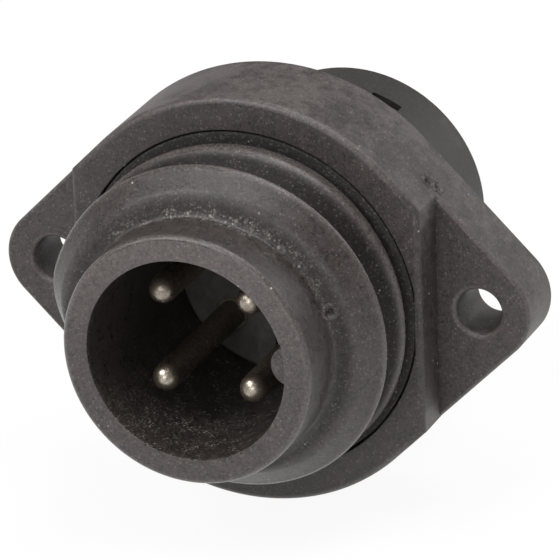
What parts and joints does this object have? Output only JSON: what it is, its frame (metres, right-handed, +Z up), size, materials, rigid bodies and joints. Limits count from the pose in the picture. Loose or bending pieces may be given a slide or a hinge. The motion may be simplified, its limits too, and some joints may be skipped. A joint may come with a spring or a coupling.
{
  "type": "panel plug connector",
  "caption": "Round flanged panel plug with a coarse coupling thread, male line and earth contacts in a keyed collar, two screw ears and a rear barrel with screw terminals.",
  "frame": {"origin": "Middle of the two flange screws, on the flange's rear face, where it seats on the panel.", "axes": "The mating axis is Y: the open threaded front faces -Y and the barrel goes through the panel towards +Y. The ears lie along X, and Z is up."},
  "size_m": [0.058, 0.0476, 0.0442],
  "materials": {
    "housing_nylon": "moulded black glass-filled nylon, fine mottled skin, light dust",
    "seal_rubber": "dull black rubber",
    "carrier_nylon": "dark moulded nylon",
    "contact_plating": "turned brass with bright silver plating",
    "screw_steel": "zinc-plated steel"
  },
  "bodies": {
    "body": {"housing": "housing_nylon", "face_seal": "seal_rubber", "contact_carrier": "carrier_nylon", "contact_pin_1": "contact_plating", "contact_pin_2": "contact_plating", "contact_pin_3": "contact_plating", "earth_pin": "contact_plating"},
    "clamp_1": {"terminal_screw_1": "screw_steel"},
    "clamp_2": {"terminal_screw_2": "screw_steel"},
    "clamp_3": {"terminal_screw_3": "screw_steel"},
    "earth_clamp": {"earth_terminal_screw": "screw_steel"}
  },
  "joints": [
    {"name": "clamp_1_travel", "type": "slide", "parent": "body", "child": "clamp_1", "axis": [0.7071, 0, -0.7071], "range_m": [0, 0.002]},
    {"name": "clamp_2_travel", "type": "slide", "parent": "body", "child": "clamp_2", "axis": [-0.7071, 0, -0.7071], "range_m": [0, 0.002]},
    {"name": "clamp_3_travel", "type": "slide", "parent": "body", "child": "clamp_3", "axis": [0.7071, 0, 0.7071], "range_m": [0, 0.002]},
    {"name": "earth_clamp_travel", "type": "slide", "parent": "body", "child": "earth_clamp", "axis": [-0.7071, 0, 0.7071], "range_m": [0, 0.002]}
  ]
}
